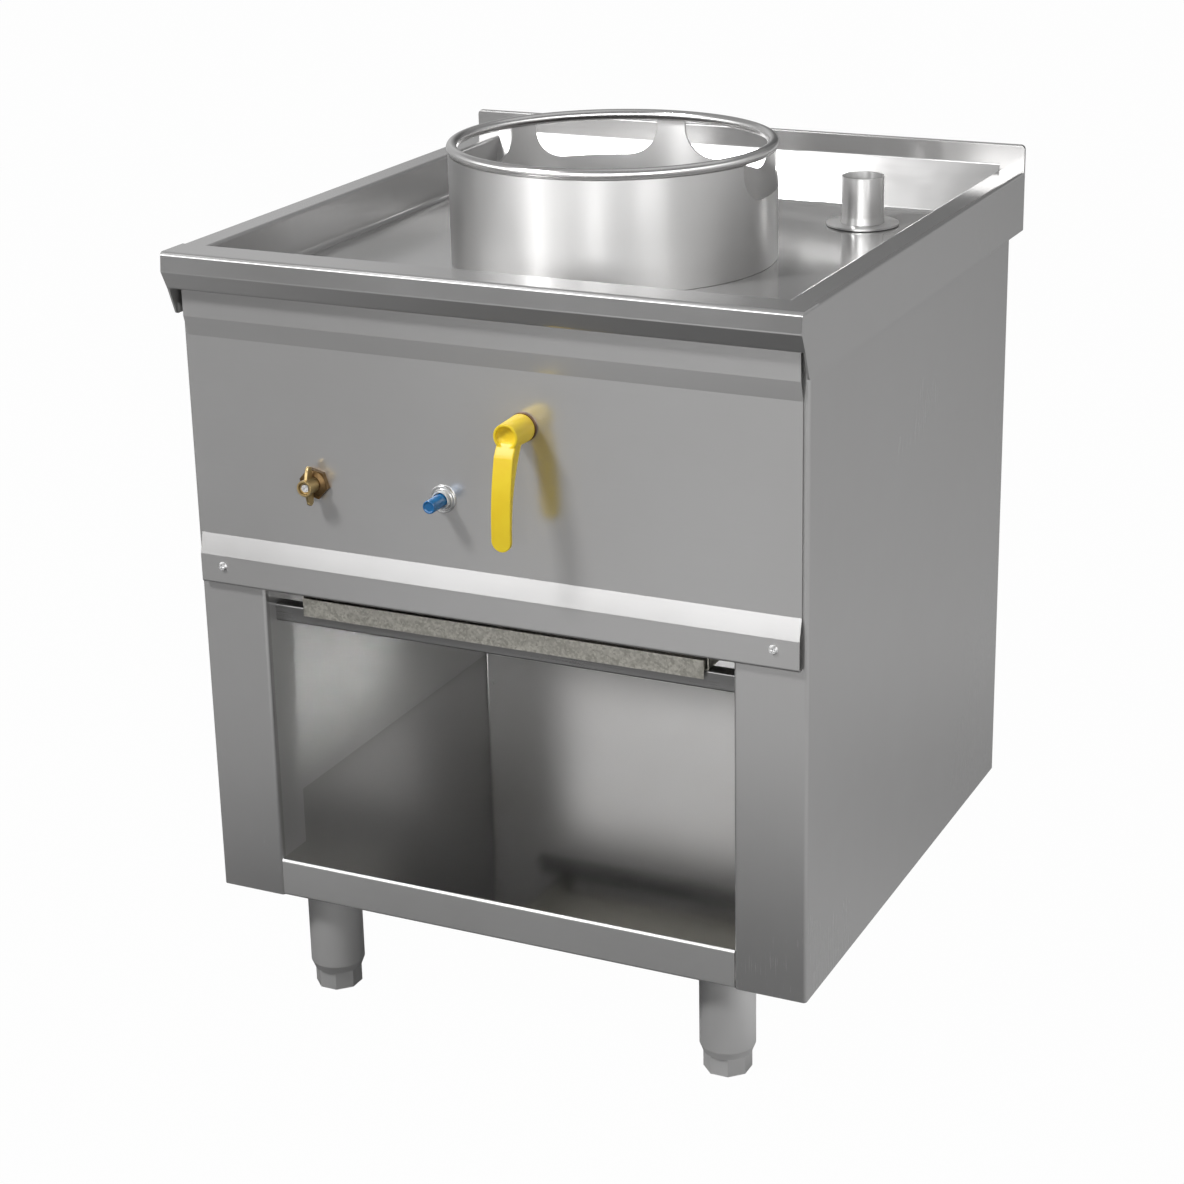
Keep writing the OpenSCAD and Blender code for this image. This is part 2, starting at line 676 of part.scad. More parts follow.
// Burner
module burner_collar() color("gray") seated() at_ring() translate([0, 0, floor_z]) difference() {
    union() {
        cylinder(r = opening_r + cab_t, h = collar_h);
        cylinder(r = opening_r + collar_foot, h = cab_t);
    }
    translate([0, 0, -1]) cylinder(r = opening_r, h = collar_h + 2);
}
module burner_chamber() color("dimgray") seated() difference() {
    at_ring() along_z(lever_z - chamber_low, under_z) difference() {
        circle(chamber_r + cab_t);
        circle(chamber_r);
    }
    translate([0, 0, lever_z]) round_y(mixer_r + 8, ring_in - chamber_r - 10, ring_in - chamber_r + 20);
}
module burner_bracket() color("dimgray") seated() at_ring() difference() {
    intersection() {
        box(-chamber_r - 5, chamber_r + 5, -20, 20, bracket_z - bracket_t, bracket_z);
        along_z(bracket_z - 10, bracket_z + 10) circle(chamber_r - 0.1);
    }
    for (q = [[-pilot_x, pilot_r + gap], [-electrode_x, 4 + gap]])
        translate([q[0], 0, 0]) along_z(bracket_z - 10, bracket_z + 10) circle(q[1]);
}
module burner_body() color("dimgray") seated() at_ring() difference() {
    neck = ring_in - mixer_y;
    foot_r0 = bowl_r / 2;
    union() {
        rotate_extrude() polygon([[0, bracket_z], [foot_r0, bracket_z], [bowl_r, lever_z + 7],
            [bowl_r, bowl_z], [0, bowl_z]]);
        translate([0, 0, lever_z]) {
            round_y(mixer_r, -neck, -bowl_r / 2);
            cone_y(mixer_r + 7, mixer_r, -neck, -neck + 14);
        }
    }
    rotate_extrude() polygon([[0, bracket_z + cast_t], [foot_r0 - 3, bracket_z + cast_t],
        [bowl_r - cast_t, lever_z + 12], [bowl_r - cast_t, bowl_z + 1], [0, bowl_z + 1]]);
    translate([0, 0, lever_z]) {
        round_y(mixer_r - cast_t + 2, -neck - 1, 0);
        cone_y(mixer_r + 4, mixer_r - cast_t + 2, -neck - 0.01, -neck + 12);
    }
}
module burner_cap() color("dimgray") seated() at_ring() translate([0, 0, bowl_z]) difference() {
    rotate_extrude() polygon([[0, -4], [bowl_r - cast_t - gap, -4], [bowl_r - cast_t - gap, 0], [bowl_r, 0],
        [bowl_r, 5], [bowl_r - 11, 13], [0, 15]]);
    for (k = [0:ports - 1]) rotate(k * 360 / ports)
        translate([bowl_r - 17, 0, -5]) cylinder(r = port_r, h = 30);
    for (k = [0:ports / 2 - 1]) rotate(k * 720 / ports)
        translate([bowl_r - 34, 0, -5]) cylinder(r = port_r, h = 30);
    translate([0, 0, -5]) cylinder(r = 2 * port_r, h = 30);
}
module burner_injector() color("goldenrod") seated() translate([0, 0, lever_z]) difference() {
    union() {
        hex_y(feed_r + 3, injector_y, injector_y + 12);
        cone_y(feed_r, feed_r - 3, injector_y + 12, injector_y + injector_l);
    }
    round_y(1.5, injector_y + 4, injector_y + injector_l + 1);
}
module burner_supply_pipe() color("peru") seated()
    tube([[lever_x - valve_l / 2, valve_y, lever_z], [0, valve_y, lever_z], [0, injector_y, lever_z]],
        feed_r, feed_r + 2);

// Gas lever, valve and pipes
module gas_valve_body() color("goldenrod") seated() at_lever() difference() {
    union() {
        translate([0, valve_y, 0]) {
            round_x(valve_r, -valve_l / 2 + 14, valve_l / 2 - 14);
            for (x = [-valve_l / 2, valve_l / 2 - 14]) translate([x, 0, 0])
                rotate([0, 90, 0]) cylinder(r = valve_r, h = 14, $fn = 6);
        }
        round_y(stem_r + 6, main_back, valve_y);
    }
    round_y(stem_r + fit, main_back - 1, valve_y);
}
module gas_valve_stem() color("goldenrod") seated() at_lever()
    round_y(stem_r, hub_front + 8, valve_y - gap);
module lever_bush() color("saddlebrown") seated() at_lever() difference() {
    union() {
        round_y(hub_r + 0.5, main_in - bush_t, main_in);
        round_y(stem_r + 4, main_in, main_back);
    }
    round_y(stem_r + fit, main_in - bush_t - 1, main_back + 1);
}
// The arm is lofted: its front leans out towards the tip, with a saddle below the hub,
// its back thins in a curve, and its corners are rounded
lever_rings = 16;
lever_sides = 24;
function rounded(v) = sign(v) * pow(abs(v), 0.45);
function lean(t) = arm_out * (1 - pow(1 - min(1, t / 0.92), 2.2));
function dip(t) = t < 0.3 ? saddle * (1 - cos(360 * t / 0.3)) / 2 : 0;
function half_width(t) =
    let (z = lever_len * t, neck = 1.9 * hub_r, tip = lever_len - arm_w / 2)
    z < neck ? arm_w / 2 + (hub_r - hub_taper - 1 - arm_w / 2) * (1 + cos(180 * z / neck)) / 2
    : z < tip ? arm_w / 2
    : sqrt(max(0.04, pow(arm_w / 2, 2) - pow(z - tip, 2)));
function thickness(t) = (arm_tip_t + (arm_root_t - arm_tip_t) * pow(1 - t, 2.6))
    * (t > 0.93 ? sqrt(1 - pow((t - 0.93) / 0.07, 2) * 0.6) : 1);
function lever_ring(k) =
    let (t = sin(90 * k / lever_rings), w = half_width(t), d = thickness(t),
        middle = hub_front + dip(t) - lean(t) + (t > 0.93 ? thickness(0.93) : d) / 2)
    [for (j = [0:lever_sides - 1])
        let (a = 360 * j / lever_sides)
        [w * rounded(cos(a)), middle - d / 2 * rounded(sin(a)), -lever_len * t]];
module gas_lever() color("gold") seated() at_lever() {
    front_r = hub_r - hub_taper;
    dish_r = front_r - 3;
    ball_r = (pow(dish_r, 2) + pow(dish_d, 2)) / (2 * dish_d);
    difference() {
        union() {
            cone_y(front_r, hub_r, hub_front, hub_y);
            loft([for (k = [0:lever_rings]) lever_ring(k)]);
        }
        translate([0, hub_front + dish_d - ball_r, 0]) sphere(ball_r);
        round_y(stem_r + gap / 6, hub_front + 8, hub_y + 1);
    }
}
module main_gas_pipe() color("gray") seated()
    tube([[lever_x + valve_l / 2, valve_y, lever_z], [pipe_x, valve_y, lever_z],
        [pipe_x, inlet_y, lever_z]], pipe_r, 2.5 * pipe_r);
module gas_inlet() color("goldenrod") seated() translate([pipe_x, 0, lever_z]) difference() {
    wall = back_y - cab_t;
    union() {
        round_y(pipe_r + 2 - gap, wall - 20, wall + 1);
        hex_y(pipe_r + 6, wall, wall + 10);
        round_y(pipe_r, wall + 9, stub_y);
    }
    round_y(pipe_r + gap / 6, wall - 21, inlet_y);
    round_y(pipe_r - 3, inlet_y - 1, stub_y + 1);
}

// Pilot tap
module pilot_feed_pipe() color("peru") seated() {
    x0 = lever_x + valve_l / 2 + 70;
    tube([[x0, valve_y, lever_z - pipe_r], [x0, valve_y, feed_z], [-tap_x, valve_y, feed_z],
        [-tap_x, valve_y, tap_z + feed_side * tap_r]], pilot_r, 2.5 * pilot_r);
}
module pilot_tap_body() color("goldenrod") seated() at_tap() difference() {
    union() {
        round_y(tap_r, main_back, main_back + tap_l);
        round_y(tap_r - 3, main_in, main_back);
    }
    round_y(spindle_r + fit, main_in - 1, main_in + 22);
}
module pilot_tap_bonnet() color("darkgoldenrod") seated() at_tap() difference() {
    union() {
        rotate([0, 12, 0]) hex_y(bonnet_r, main_in - bonnet_l + 2, main_in);
        cone_y(wing_hub_r + 1, bonnet_r - 3, main_in - bonnet_l, main_in - bonnet_l + 2);
    }
    round_y(spindle_r + fit, main_in - bonnet_l - 1, main_in + 1);
}
module pilot_tap_spindle() color("goldenrod") seated() at_tap()
    round_y(spindle_r, wing_back + gap, main_in + 20);
module pilot_wing() color("goldenrod") seated() at_tap() {
    reach = wing_span / 2 - wing_tip_r;
    front = wing_front + 1.5;
    tip = front + wing_lean + wing_tip_r;
    difference() {
        union() {
            round_y(wing_hub_r, wing_front, wing_back);
            cone_y(wing_hub_r - 1, wing_hub_r, wing_back - 0.5, wing_y);
            along_x(wing_t) for (s = [-1, 1]) {
                polygon([[front, 0], [tip - wing_tip_r, s * reach], [tip + wing_tip_r, s * reach],
                    [wing_y - 1, s * wing_hub_r * 0.7], [wing_y - 1, 0]]);
                translate([tip, s * reach]) circle(wing_tip_r);
            }
        }
        round_y(spindle_r + gap / 6, wing_back, wing_y + 1);
        round_y(screw_r + gap / 6, wing_front, wing_back + 1);
        round_y(wing_hub_r - wing_ring_t, wing_front - 1, wing_floor);
    }
}
module pilot_wing_screw() color("silver") seated() at_tap() {
    head_r = wing_hub_r - wing_ring_t - 1.5;
    round_y(screw_r, wing_floor, wing_back);
    difference() {
        cone_y(head_r - 1, head_r, wing_floor - 2.2, wing_floor);
        for (a = [45, 135]) rotate([0, a, 0])
            box(0.7 - head_r, head_r - 0.7, wing_floor - 3, wing_floor - 1, -0.6, 0.6);
    }
}
module pilot_pipe() color("peru") seated()
    tube([[-tap_x, main_back + tap_l, tap_z], [-tap_x, pilot_y, tap_z], [-tap_x, pilot_y, pilot_low],
        [-pilot_x, pilot_y, pilot_low], [-pilot_x, ring_in, pilot_low],
        [-pilot_x, ring_in, bracket_z]], pilot_r, 2.5 * pilot_r);
module pilot_burner() color("goldenrod") seated() at_ring() translate([-pilot_x, 0, bracket_z]) difference() {
    union() {
        cylinder(r = 9, h = 6);
        cylinder(r = 6, h = bowl_z - bracket_z + 4);
    }
    translate([0, 0, bowl_z - bracket_z - 10]) cylinder(r = 4, h = 20);
    translate([0, 0, bowl_z - bracket_z - 4]) rotate([0, 90, 0]) cylinder(r = 3, h = 20);
}

// Igniter
barrel_y = main_in - collar_out;
button_end = barrel_y + 26;
spring_l = 11;
spring_r = button_r - 2;
spring_wire = 0.4;
spring_turns = 4;
module igniter_body() color("whitesmoke") seated() at_igniter() difference() {
    union() {
        round_y(barrel_r, barrel_y, main_back + 20);
        round_y(barrel_r + 2, main_back + 20, main_back + ign_l);
    }
    round_y(button_r + fit, barrel_y - 1, button_end + spring_l);
    round_y(button_r + 1.3, barrel_y - 1, barrel_y + 4);
}
module igniter_bezel() color("silver") seated() at_igniter() translate([0, main_in, 0]) rotate([90, 0, 0]) {
    inner = barrel_r + gap / 6;
    rotate_extrude() polygon([[inner, 0], [bezel_r, 0], [bezel_r, 1.4], [bezel_r - 1, 2.6],
        [bezel_r - 2, 2.6], [bezel_r - 2.6, 1.8], [inner + 1, 1.8], [inner, 2.4]]);
}
module igniter_nut() color("silver") seated() at_igniter() difference() {
    hex_y(bezel_r, main_back, main_back + 5);
    round_y(barrel_r + gap / 6, main_back - 1, main_back + 6);
}
module igniter_button() color("dodgerblue") seated() at_igniter() difference() {
    front = barrel_y - button_out;
    union() {
        cone_y(button_r - 0.8, button_r, front, front + 0.8);
        round_y(button_r, front + 0.8, button_end);
    }
    round_y(button_r - 2, front - 1, front + 0.6);
}
// Return spring: one round wire along a helix
function spring_at(turns_done) =
    [spring_r * cos(360 * turns_done), spring_r * sin(360 * turns_done),
        spring_wire + (spring_l - 2 * spring_wire) * turns_done / spring_turns];
spring_rings = 8 * spring_turns;
spring_sides = 6;
function spring_ring(k) =
    let (a = 360 * k / 8, c = spring_at(k / 8), out = [cos(a), sin(a), 0])
    [for (j = [0:spring_sides - 1])
        c + spring_wire * (cos(60 * j) * out + sin(60 * j) * [0, 0, 1])];
spring_gap = (spring_l - 2 * spring_wire) / spring_turns - 2 * spring_wire;
echo(spring_gap = spring_gap);
module igniter_spring() color("silver") seated() at_igniter()
    translate([0, button_end, 0]) rotate([-90, 0, 0]) loft([for (k = [0:spring_rings]) spring_ring(k)]);
module igniter_lead() color("dimgray") seated()
    tube([[-ign_x, main_back + ign_l, ign_z], [-ign_x, main_back + ign_l + lead_slack, ign_z],
        [-electrode_x, ring_in - chamber_r, pilot_low], [-electrode_x, ring_in, pilot_low],
        [-electrode_x, ring_in, bracket_z - 12]], lead_r, 3.2 * lead_r);
module igniter_electrode() color("whitesmoke") seated() at_ring() translate([-electrode_x, 0, bracket_z]) {
    translate([0, 0, -12]) cylinder(r = 4, h = bowl_z - bracket_z + 10);
    cylinder(r = 7, h = 4);
    translate([0, 0, bowl_z - bracket_z - 2]) cylinder(r = 1.2, h = 14);
}

// Drain
module drain_flange() color("silver") seated() at_drain() difference() {
    union() {
        translate([0, 0, floor_z + 1]) cylinder(r = drain_flange_r, h = drain_flange_t);
        translate([0, 0, floor_z - neck_l]) cylinder(r = neck_r, h = neck_l + 1);
    }
    translate([0, 0, floor_z - neck_l - 1]) cylinder(r = spigot_r + fit, h = neck_l + 10);
}
module drain_gasket() color("dimgray") seated() at_drain() translate([0, 0, floor_z]) difference() {
    cylinder(r = drain_flange_r - 3, h = 1);
    translate([0, 0, -1]) cylinder(r = neck_r + gap, h = 3);
}
module drain_locknut() color("goldenrod") seated() at_drain() difference() {
    translate([0, 0, under_z - 12]) cylinder(r = neck_r + 12, h = 12, $fn = 6);
    translate([0, 0, under_z - 13]) cylinder(r = neck_r + gap / 6, h = 14);
}
module drain_tailpipe() color("gray") seated() {
    difference() {
        union() {
            at_drain() along_z(floor_z - neck_l - 20, floor_z - neck_l) circle(neck_r + 3);
            tube([[drain_x, drain_in, floor_z - neck_l - 1], [drain_x, drain_in, tail_z],
                [drain_x, stub_y, tail_z]], tail_r, 1.6 * tail_r);
            translate([drain_x, 0, tail_z]) round_y(tail_r + 6, back_y - cab_t, back_y + 2);
        }
        translate([drain_x, 0, tail_z]) round_y(tail_r - 2, stub_y - 40, stub_y + 1);
        at_drain() along_z(floor_z - neck_l - 60, floor_z - neck_l + 1) circle(tail_r - 2);
    }
}
module overflow_pipe() color("lightgray") seated() at_drain()
    rotate_extrude() polygon([[over_r - over_t, floor_z + over_h], [over_r, floor_z + over_h],
        [over_r, drain_z + 8], [over_r + 1, drain_z + gap], [spigot_r, drain_z + gap],
        [spigot_r, drain_z - spigot_l], [spigot_r - over_t, drain_z - spigot_l],
        [spigot_r - over_t, drain_z + 6], [over_r - over_t, drain_z + 10]]);

// Legs and feet
module leg() {
    top = plate_z;
    difference() {
        union() {
            rotate_extrude() polygon([[0, foot_h], [leg_end_r, foot_h], [leg_r, foot_h + leg_taper],
                [leg_r, top], [0, top]]);
            translate([plate_side - plate_w, -plate_w / 2, top]) cube([plate_w, plate_w, plate_t]);
        }
        translate([0, 0, foot_h - 1]) cylinder(r = foot_stem_r + fit, h = 45);
        translate([0, 0, foot_h + 40]) cylinder(r = leg_r - leg_t, h = top - foot_h - 40);
        at_studs() translate([0, 0, top - 1]) cylinder(r = 3 + gap, h = plate_t + 2);
    }
}
module leg_front_left() color("darkgray") seated() at_leg(-1, 0) leg();
module leg_front_right() color("darkgray") seated() at_leg(1, 0) leg();
module leg_back_left() color("darkgray") seated() at_leg(-1, 1) leg();
module leg_back_right() color("darkgray") seated() at_leg(1, 1) leg();
module leg_nuts() color("silver") seated()
    for (side = [-1, 1], row = [0, 1]) at_leg(side, row) at_studs() {
        translate([0, 0, plate_z - 9]) cylinder(r = 3, h = plate_t + 9);
        translate([0, 0, plate_z - 6]) cylinder(r = 6, h = 6, $fn = 6);
    }
module foot() {
    rotate(22.5) cylinder(r = foot_r, h = foot_h - gap, $fn = 8);
    cylinder(r = foot_stem_r, h = foot_h + 36);
}
module foot_front_left() color("darkgray") seated() at_leg(-1, 0) foot();
module foot_front_right() color("darkgray") seated() at_leg(1, 0) foot();
module foot_back_left() color("darkgray") seated() at_leg(-1, 1) foot();
module foot_back_right() color("darkgray") seated() at_leg(1, 1) foot();

left_side_panel();
right_side_panel();
back_panel();
back_panel_screws();
bottom_shelf();
front_cross_rail();
rear_cross_rail();
left_tray_runner();
right_tray_runner();
drip_tray();
worktop();
control_panel();
panel_screws();
wok_ring_skirt();
wok_ring_bar();
burner_collar();
burner_chamber();
burner_bracket();
burner_body();
burner_cap();
burner_injector();
burner_supply_pipe();
gas_valve_body();
gas_valve_stem();
lever_bush();
gas_lever();
main_gas_pipe();
gas_inlet();
pilot_feed_pipe();
pilot_tap_body();
pilot_tap_bonnet();
pilot_tap_spindle();
pilot_wing();
pilot_wing_screw();
pilot_pipe();
pilot_burner();
igniter_body();
igniter_bezel();
igniter_nut();
igniter_button();
igniter_spring();
igniter_lead();
igniter_electrode();
drain_flange();
drain_gasket();
drain_locknut();
drain_tailpipe();
overflow_pipe();
leg_front_left();
leg_front_right();
leg_back_left();
leg_back_right();
leg_nuts();
foot_front_left();
foot_front_right();
foot_back_left();
foot_back_right();
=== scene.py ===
"""Looks of a free-standing gas wok range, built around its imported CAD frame."""

import math

import bpy
from mathutils import Matrix, Vector


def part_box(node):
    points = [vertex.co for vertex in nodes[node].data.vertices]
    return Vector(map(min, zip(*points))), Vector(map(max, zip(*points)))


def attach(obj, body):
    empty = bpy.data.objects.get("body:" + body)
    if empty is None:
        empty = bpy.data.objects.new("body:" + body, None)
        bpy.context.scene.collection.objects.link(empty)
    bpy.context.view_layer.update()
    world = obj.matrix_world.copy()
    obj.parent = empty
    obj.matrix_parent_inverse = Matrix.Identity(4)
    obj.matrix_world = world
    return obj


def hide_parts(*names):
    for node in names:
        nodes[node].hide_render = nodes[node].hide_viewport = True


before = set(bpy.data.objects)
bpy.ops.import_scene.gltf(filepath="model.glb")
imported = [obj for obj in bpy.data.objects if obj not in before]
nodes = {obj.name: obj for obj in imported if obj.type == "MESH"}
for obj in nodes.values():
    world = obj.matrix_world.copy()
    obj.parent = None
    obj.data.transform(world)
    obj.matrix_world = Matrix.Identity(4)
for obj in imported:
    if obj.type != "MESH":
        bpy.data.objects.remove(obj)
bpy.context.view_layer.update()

# Colour sockets of a Mix node, which share their names with its other sockets
MIX_FIRST = 6
MIX_SECOND = 7
MIX_RESULT = 2


# Shader kit
class Field:
    """A value that changes over a surface: the output of a shader node."""

    def __init__(self, finish, socket):
        self.finish = finish
        self.socket = socket

    def __add__(self, other):
        return self.finish.math("ADD", self, other)

    def __sub__(self, other):
        return self.finish.math("SUBTRACT", self, other)

    def __mul__(self, other):
        return self.finish.math("MULTIPLY", self, other)

    def __radd__(self, other):
        return self.finish.math("ADD", other, self)

    def __rsub__(self, other):
        return self.finish.math("SUBTRACT", other, self)

    def __rmul__(self, other):
        return self.finish.math("MULTIPLY", other, self)


class Finish:
    """A material with one Principled shader, fed by constants and fields."""

    def __init__(self, name, **constants):
        self.material = bpy.data.materials.new(name)
        self.material.use_nodes = True
        self.tree = self.material.node_tree
        self.tree.nodes.clear()
        self.shader = self.tree.nodes.new("ShaderNodeBsdfPrincipled")
        self.output = self.tree.nodes.new("ShaderNodeOutputMaterial")
        self.tree.links.new(self.shader.outputs[0], self.output.inputs[0])
        self.feed(**constants)

    def node(self, kind, settings=None, values=None, out=0):
        made = self.tree.nodes.new(kind)
        for key, value in (settings or {}).items():
            if key == "stops":
                for _ in range(len(value) - 2):
                    made.color_ramp.elements.new(0.5)
                for element, (place, colour) in zip(made.color_ramp.elements, value):
                    element.position = place
                    element.color = colour
            else:
                setattr(made, key, value)
        for key, value in (values or {}).items():
            self.join(made.inputs[key], value)
        return Field(self, made.outputs[out])

    def join(self, socket, value):
        if isinstance(value, Field):
            self.tree.links.new(value.socket, socket)
        else:
            socket.default_value = value

    def feed(self, **values):
        for socket, value in values.items():
            self.join(self.shader.inputs[socket.replace("_", " ")], value)

    def where(self, stretch=(1, 1, 1)):
        place = self.node("ShaderNodeTexCoord", out="Object")
        return self.node("ShaderNodeMapping", {"vector_type": "POINT"}, {"Vector": place, "Scale": stretch})

    def place(self, axis):
        return self.node("ShaderNodeSeparateXYZ", None, {0: self.where()}, out="XYZ".index(axis))

    def noise(self, scale, stretch=(1, 1, 1), detail=3, rough=0.55):
        return self.node("ShaderNodeTexNoise", None, {"Vector": self.where(stretch), "Scale": scale,
            "Detail": detail, "Roughness": rough})

    def math(self, operation, first, second=0.0):
        return self.node("ShaderNodeMath", {"operation": operation}, {0: first, 1: second})

    def mix(self, factor, first, second):
        return self.node("ShaderNodeMix", {"data_type": "RGBA"},
            {0: factor, MIX_FIRST: first, MIX_SECOND: second}, out=MIX_RESULT)

    def ramp(self, field, low, high):
        return self.node("ShaderNodeMapRange", {"clamp": True},
            {"Value": field, "From Min": low, "From Max": high})

    def ease(self, field, low, high):
        return self.node("ShaderNodeMapRange", {"interpolation_type": "SMOOTHSTEP"},
            {"Value": field, "From Min": low, "From Max": high})

    def steps(self, field, stops):
        greys = [(at, grey(level)) for at, level in stops]
        return self.node("ShaderNodeValToRGB", {"stops": greys}, {0: field})

    def bump(self, height, strength, distance):
        self.feed(Normal=self.node("ShaderNodeBump", None, {"Height": height, "Strength": strength,
            "Distance": distance}))


def grey(level, warm=0.0):
    return (level * (1 + warm), level, level * (1 - warm), 1)


# Sheet steel: noise scales across and along the brush lines, then the swing of tone and gloss
BRUSH_ACROSS = 2600.0
BRUSH_ALONG = 14.0
BRUSH_BUMP = 0.6
GRAIN_TURN = 0.25
SHEET_SPECULAR = 0.35
SMEAR_SCALE = 4.0
SMEAR_SHARE = 0.7
SMEAR_ROUGH = 0.05
DARK_TONE = 0.965
DARK_WARMTH = 0.010
LIGHT_TONE = 1.035
LIGHT_WARMTH = 0.004

# Where the inner faces of the side panels and the floor of the shelf begin
WALL_FRONT_Y = -0.300
WALL_OUTER_X = 0.3462
FLOOR_FRONT_Y = -0.3055


def brushed_steel(name, along, level, rough, metal=0.64, lines=0.03, depth=0.000004, zone=None, grain=0.0):
    """Sheet steel with fine brush lines along one axis and faint handling smears. zone marks the
    faces with another finish: a field maker, their roughness and their metal share. grain draws the
    light out across a grain that runs round an upright part."""
    made = Finish(name, Metallic=metal, Specular_IOR_Level=SHEET_SPECULAR, Anisotropic=grain,
        Anisotropic_Rotation=GRAIN_TURN)
    stretch = [BRUSH_ACROSS, BRUSH_ACROSS, BRUSH_ACROSS]
    stretch["XYZ".index(along)] = BRUSH_ALONG
    fine = made.noise(1.0, stretch, 3, 0.7)
    smear = made.noise(SMEAR_SCALE, detail=4, rough=0.6)
    tone = made.ramp(fine * (1 - SMEAR_SHARE) + smear * SMEAR_SHARE, 0.3, 0.7)
    dark = grey(level * DARK_TONE, DARK_WARMTH)
    light = grey(level * LIGHT_TONE, LIGHT_WARMTH)
    made.feed(Base_Color=made.mix(tone, dark, light))
    spread = made.ramp(fine, 0.25, 0.75) * lines + made.ramp(smear, 0.35, 0.7) * SMEAR_ROUGH - SMEAR_ROUGH
    if zone:
        marked, zone_rough, zone_metal = zone
        mark = marked(made)
        made.feed(Roughness=spread + rough - mark * (rough - zone_rough))
        made.feed(Metallic=metal - mark * (metal - zone_metal))
    else:
        made.feed(Roughness=spread + rough)
    made.bump(fine, BRUSH_BUMP, depth)
    return made


def inner_wall(made):
    behind = made.math("GREATER_THAN", made.place("Y"), WALL_FRONT_Y)
    return behind * made.math("LESS_THAN", made.math("ABSOLUTE", made.place("X")), WALL_OUTER_X)


def shelf_floor(made):
    return made.math("GREATER_THAN", made.place("Y"), FLOOR_FRONT_Y)


# Zinc: noise scales of the crystal flakes and of the slow drift over them
FLAKE_SCALE = 420.0
FLAKE_SHARE = 0.45
DRIFT_SCALE = 140.0
ZINC_DARK = (0.40, 0.388, 0.345, 1)
ZINC_LIGHT = (0.60, 0.585, 0.53, 1)
ZINC_ROUGH = 0.34
ZINC_ROUGH_SWING = 0.22


def galvanised_steel(name):
    """Zinc with crystal flakes and a dull yellowish cast."""
    made = Finish(name, Metallic=1.0)
    flake = made.node("ShaderNodeTexVoronoi", {"feature": "F1"}, {"Vector": made.where(),
        "Scale": FLAKE_SCALE, "Randomness": 1.0}, out="Color")
    shade = made.node("ShaderNodeSeparateColor", None, {0: flake})
    drift = made.noise(DRIFT_SCALE, detail=5, rough=0.65)
    tone = made.ramp(shade * FLAKE_SHARE + drift * (1 - FLAKE_SHARE), 0.25, 0.75)
    made.feed(Base_Color=made.mix(tone, ZINC_DARK, ZINC_LIGHT))
    made.feed(Roughness=ZINC_ROUGH + ZINC_ROUGH_SWING * tone)
    made.bump(drift, 0.35, 0.0002)
    return made


# Machined and drawn metal: noise scales of the tarnish and the scratches, and the roughness they add
TARNISH_SCALE = 40.0
TARNISH_ROUGH = 0.16
SCRATCH_STRETCH = (1500, 1500, 120)
SCRATCH_ROUGH = 0.06


def smooth_metal(name, dark, light, rough):
    """Machined or drawn metal with tarnish in patches."""
    made = Finish(name, Metallic=1.0)
    patch = made.ramp(made.noise(TARNISH_SCALE, detail=5, rough=0.65), 0.3, 0.7)
    scratch = made.noise(1.0, SCRATCH_STRETCH, 3, 0.7)
    made.feed(Base_Color=made.mix(patch, dark, light))
    made.feed(Roughness=rough + TARNISH_ROUGH * (1 - patch) + SCRATCH_ROUGH * scratch)
    made.bump(scratch, 0.35, 0.00006)
    return made


# Plastic: noise scales of the colour drift and of the skin's peel
COLOUR_SCALE = 45.0
COLOUR_ROUGH = 0.08
PEEL_SCALE = 1600.0
COAT_ROUGH = 0.12


def moulded_plastic(name, colour, shade, rough, coat=0.0):
    """Moulded or dipped plastic: a fine peel and slow colour drift."""
    made = Finish(name, Specular_IOR_Level=0.5, Coat_Weight=coat, Coat_Roughness=COAT_ROUGH)
    drift = made.ramp(made.noise(COLOUR_SCALE, detail=3, rough=0.5), 0.35, 0.7)
    peel = made.noise(PEEL_SCALE, detail=2, rough=0.5)
    made.feed(Base_Color=made.mix(drift, shade, colour))
    made.feed(Roughness=rough + COLOUR_ROUGH * drift)
    made.bump(peel, 0.18, 0.00012)
    return made


# Iron and heat-stained plate: noise scales of the stains and of the pores
STAIN_SCALE = 30.0
STAIN_ROUGH = 0.2
PORE_SCALE = 900.0
CASTING_METAL = 0.75


def dark_casting(name, dark, light, rough):
    """Rough iron or heat-stained plate."""
    made = Finish(name, Metallic=CASTING_METAL)
    patch = made.ramp(made.noise(STAIN_SCALE, detail=6, rough=0.7), 0.3, 0.72)
    pores = made.noise(PORE_SCALE, detail=4, rough=0.7)
    made.feed(Base_Color=made.mix(patch, dark, light))
    made.feed(Roughness=rough + STAIN_ROUGH * patch)
    made.bump(pores, 0.5, 0.0004)
    return made


# Finishes
sheet_across = brushed_steel("stainless_brushed_across", "X", 0.56, 0.17)
panel_sheet = brushed_steel("stainless_panel", "X", 0.56, 0.23)
# Painted shade: the rails get a darker steel for the shadow they sit in under the tray
painted_shade_rail = brushed_steel("stainless_rail", "X", 0.25, 0.30)
sheet_upright = brushed_steel("stainless_brushed_upright", "Z", 0.56, 0.26, zone=(inner_wall, 0.24, 0.55))
sheet_shelf = brushed_steel("stainless_shelf", "X", 0.74, 0.25, metal=0.58, zone=(shelf_floor, 0.09, 0.99))
sheet_back = brushed_steel("stainless_back", "X", 0.80, 0.50, metal=0.05)
ring_steel = brushed_steel("ring_steel", "Z", 0.58, 0.38, metal=0.96, lines=0.04, grain=0.85)
bar_steel = brushed_steel("bar_steel", "Z", 0.74, 0.20, metal=0.85, lines=0.05, depth=0.000002)
pipe_bright = brushed_steel("overflow_steel", "Z", 0.70, 0.30, metal=0.85, lines=0.05, grain=0.8)
leg_steel = brushed_steel("leg_steel", "Z", 0.94, 0.36)
zinc = galvanised_steel("galvanised_zinc")
